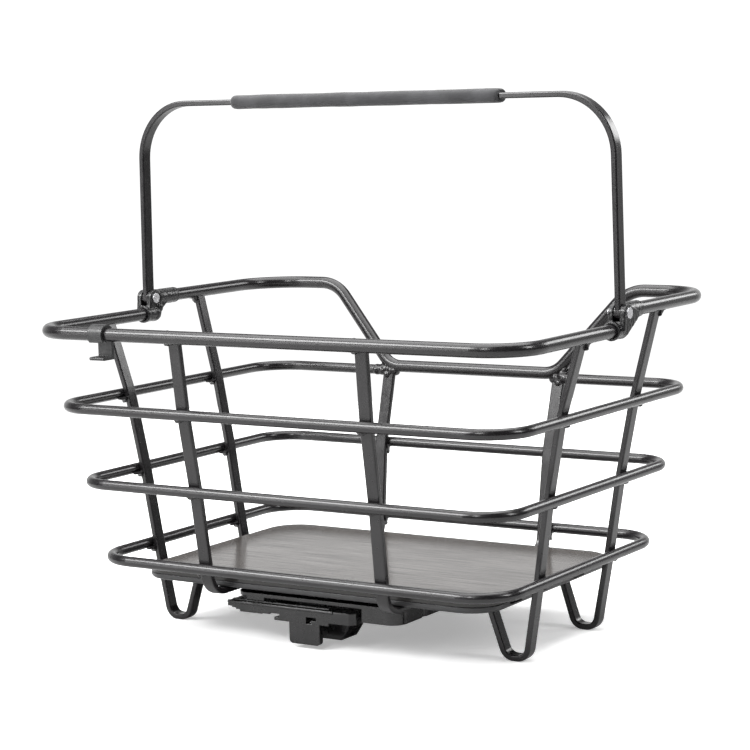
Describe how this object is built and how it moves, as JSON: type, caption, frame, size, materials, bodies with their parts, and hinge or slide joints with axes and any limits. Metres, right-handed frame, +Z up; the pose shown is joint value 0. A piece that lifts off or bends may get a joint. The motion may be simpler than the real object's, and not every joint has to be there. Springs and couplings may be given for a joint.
{
  "type": "bicycle luggage basket",
  "caption": "Welded bar basket for a bicycle luggage carrier, with a fold-down carrying handle with foam grip, a board floor, V feet and a click-on adapter under the floor.",
  "frame": {"origin": "on the ground, below the middle of the bounding box", "axes": "+X along the basket's length, -Y its front, +Z up"},
  "size_m": [0.4402, 0.326, 0.4092],
  "materials": {
    "powder_coat": "satin anthracite-black powder coat on aluminium",
    "cast_black": "matte black cast aluminium",
    "tray_plastic": "satin dark grey moulding",
    "board_laminate": "satin grey-brown wood laminate, grain along the length",
    "insert_brass": "plain",
    "adapter_plastic": "satin black glass-filled plastic",
    "hook_plastic": "satin black moulding",
    "plain_steel": "zinc plated",
    "rivet_metal": "bright rivet head",
    "foam": "matte dark grey foam sleeve"
  },
  "bodies": {
    "frame": {"front_rim": "powder_coat", "rear_rim": "powder_coat", "upper_ring": "powder_coat", "middle_ring": "powder_coat", "lower_ring": "powder_coat", "strap_left": "powder_coat", "strap_right": "powder_coat", "leg_front_left": "powder_coat", "leg_front_right": "powder_coat", "leg_rear_left": "powder_coat", "leg_rear_right": "powder_coat", "pivot_bracket_left": "cast_black", "pivot_bracket_right": "cast_black", "base_tray": "tray_plastic", "base_board": "board_laminate", "tray_inserts": "insert_brass", "adapter_housing": "adapter_plastic", "adapter_cover": "adapter_plastic", "locating_block": "adapter_plastic", "adapter_bolts": "plain_steel", "cover_screws": "plain_steel", "slider_spring": "plain_steel", "rivet_left": "rivet_metal", "rivet_right": "rivet_metal", "pivot_washers": "plain_steel", "rim_hook": "hook_plastic"},
    "slider": {"release_slider": "adapter_plastic", "release_grip": "adapter_plastic"},
    "handle": {"handle_bar": "powder_coat", "handle_grip": "foam"}
  },
  "joints": [
    {"name": "handle_fold", "type": "hinge", "parent": "frame", "child": "handle", "pos_m": [0, -0.007, 0.2485], "axis": [1, 0, 0], "range_deg": [-8, 90]},
    {"name": "slider_release", "type": "slide", "parent": "frame", "child": "slider", "axis": [1, 0, 0], "range_m": [-0.008, 0], "stiffness_N_per_m": 400, "springref_m": 0.004, "deforming": ["slider_spring"]}
  ]
}
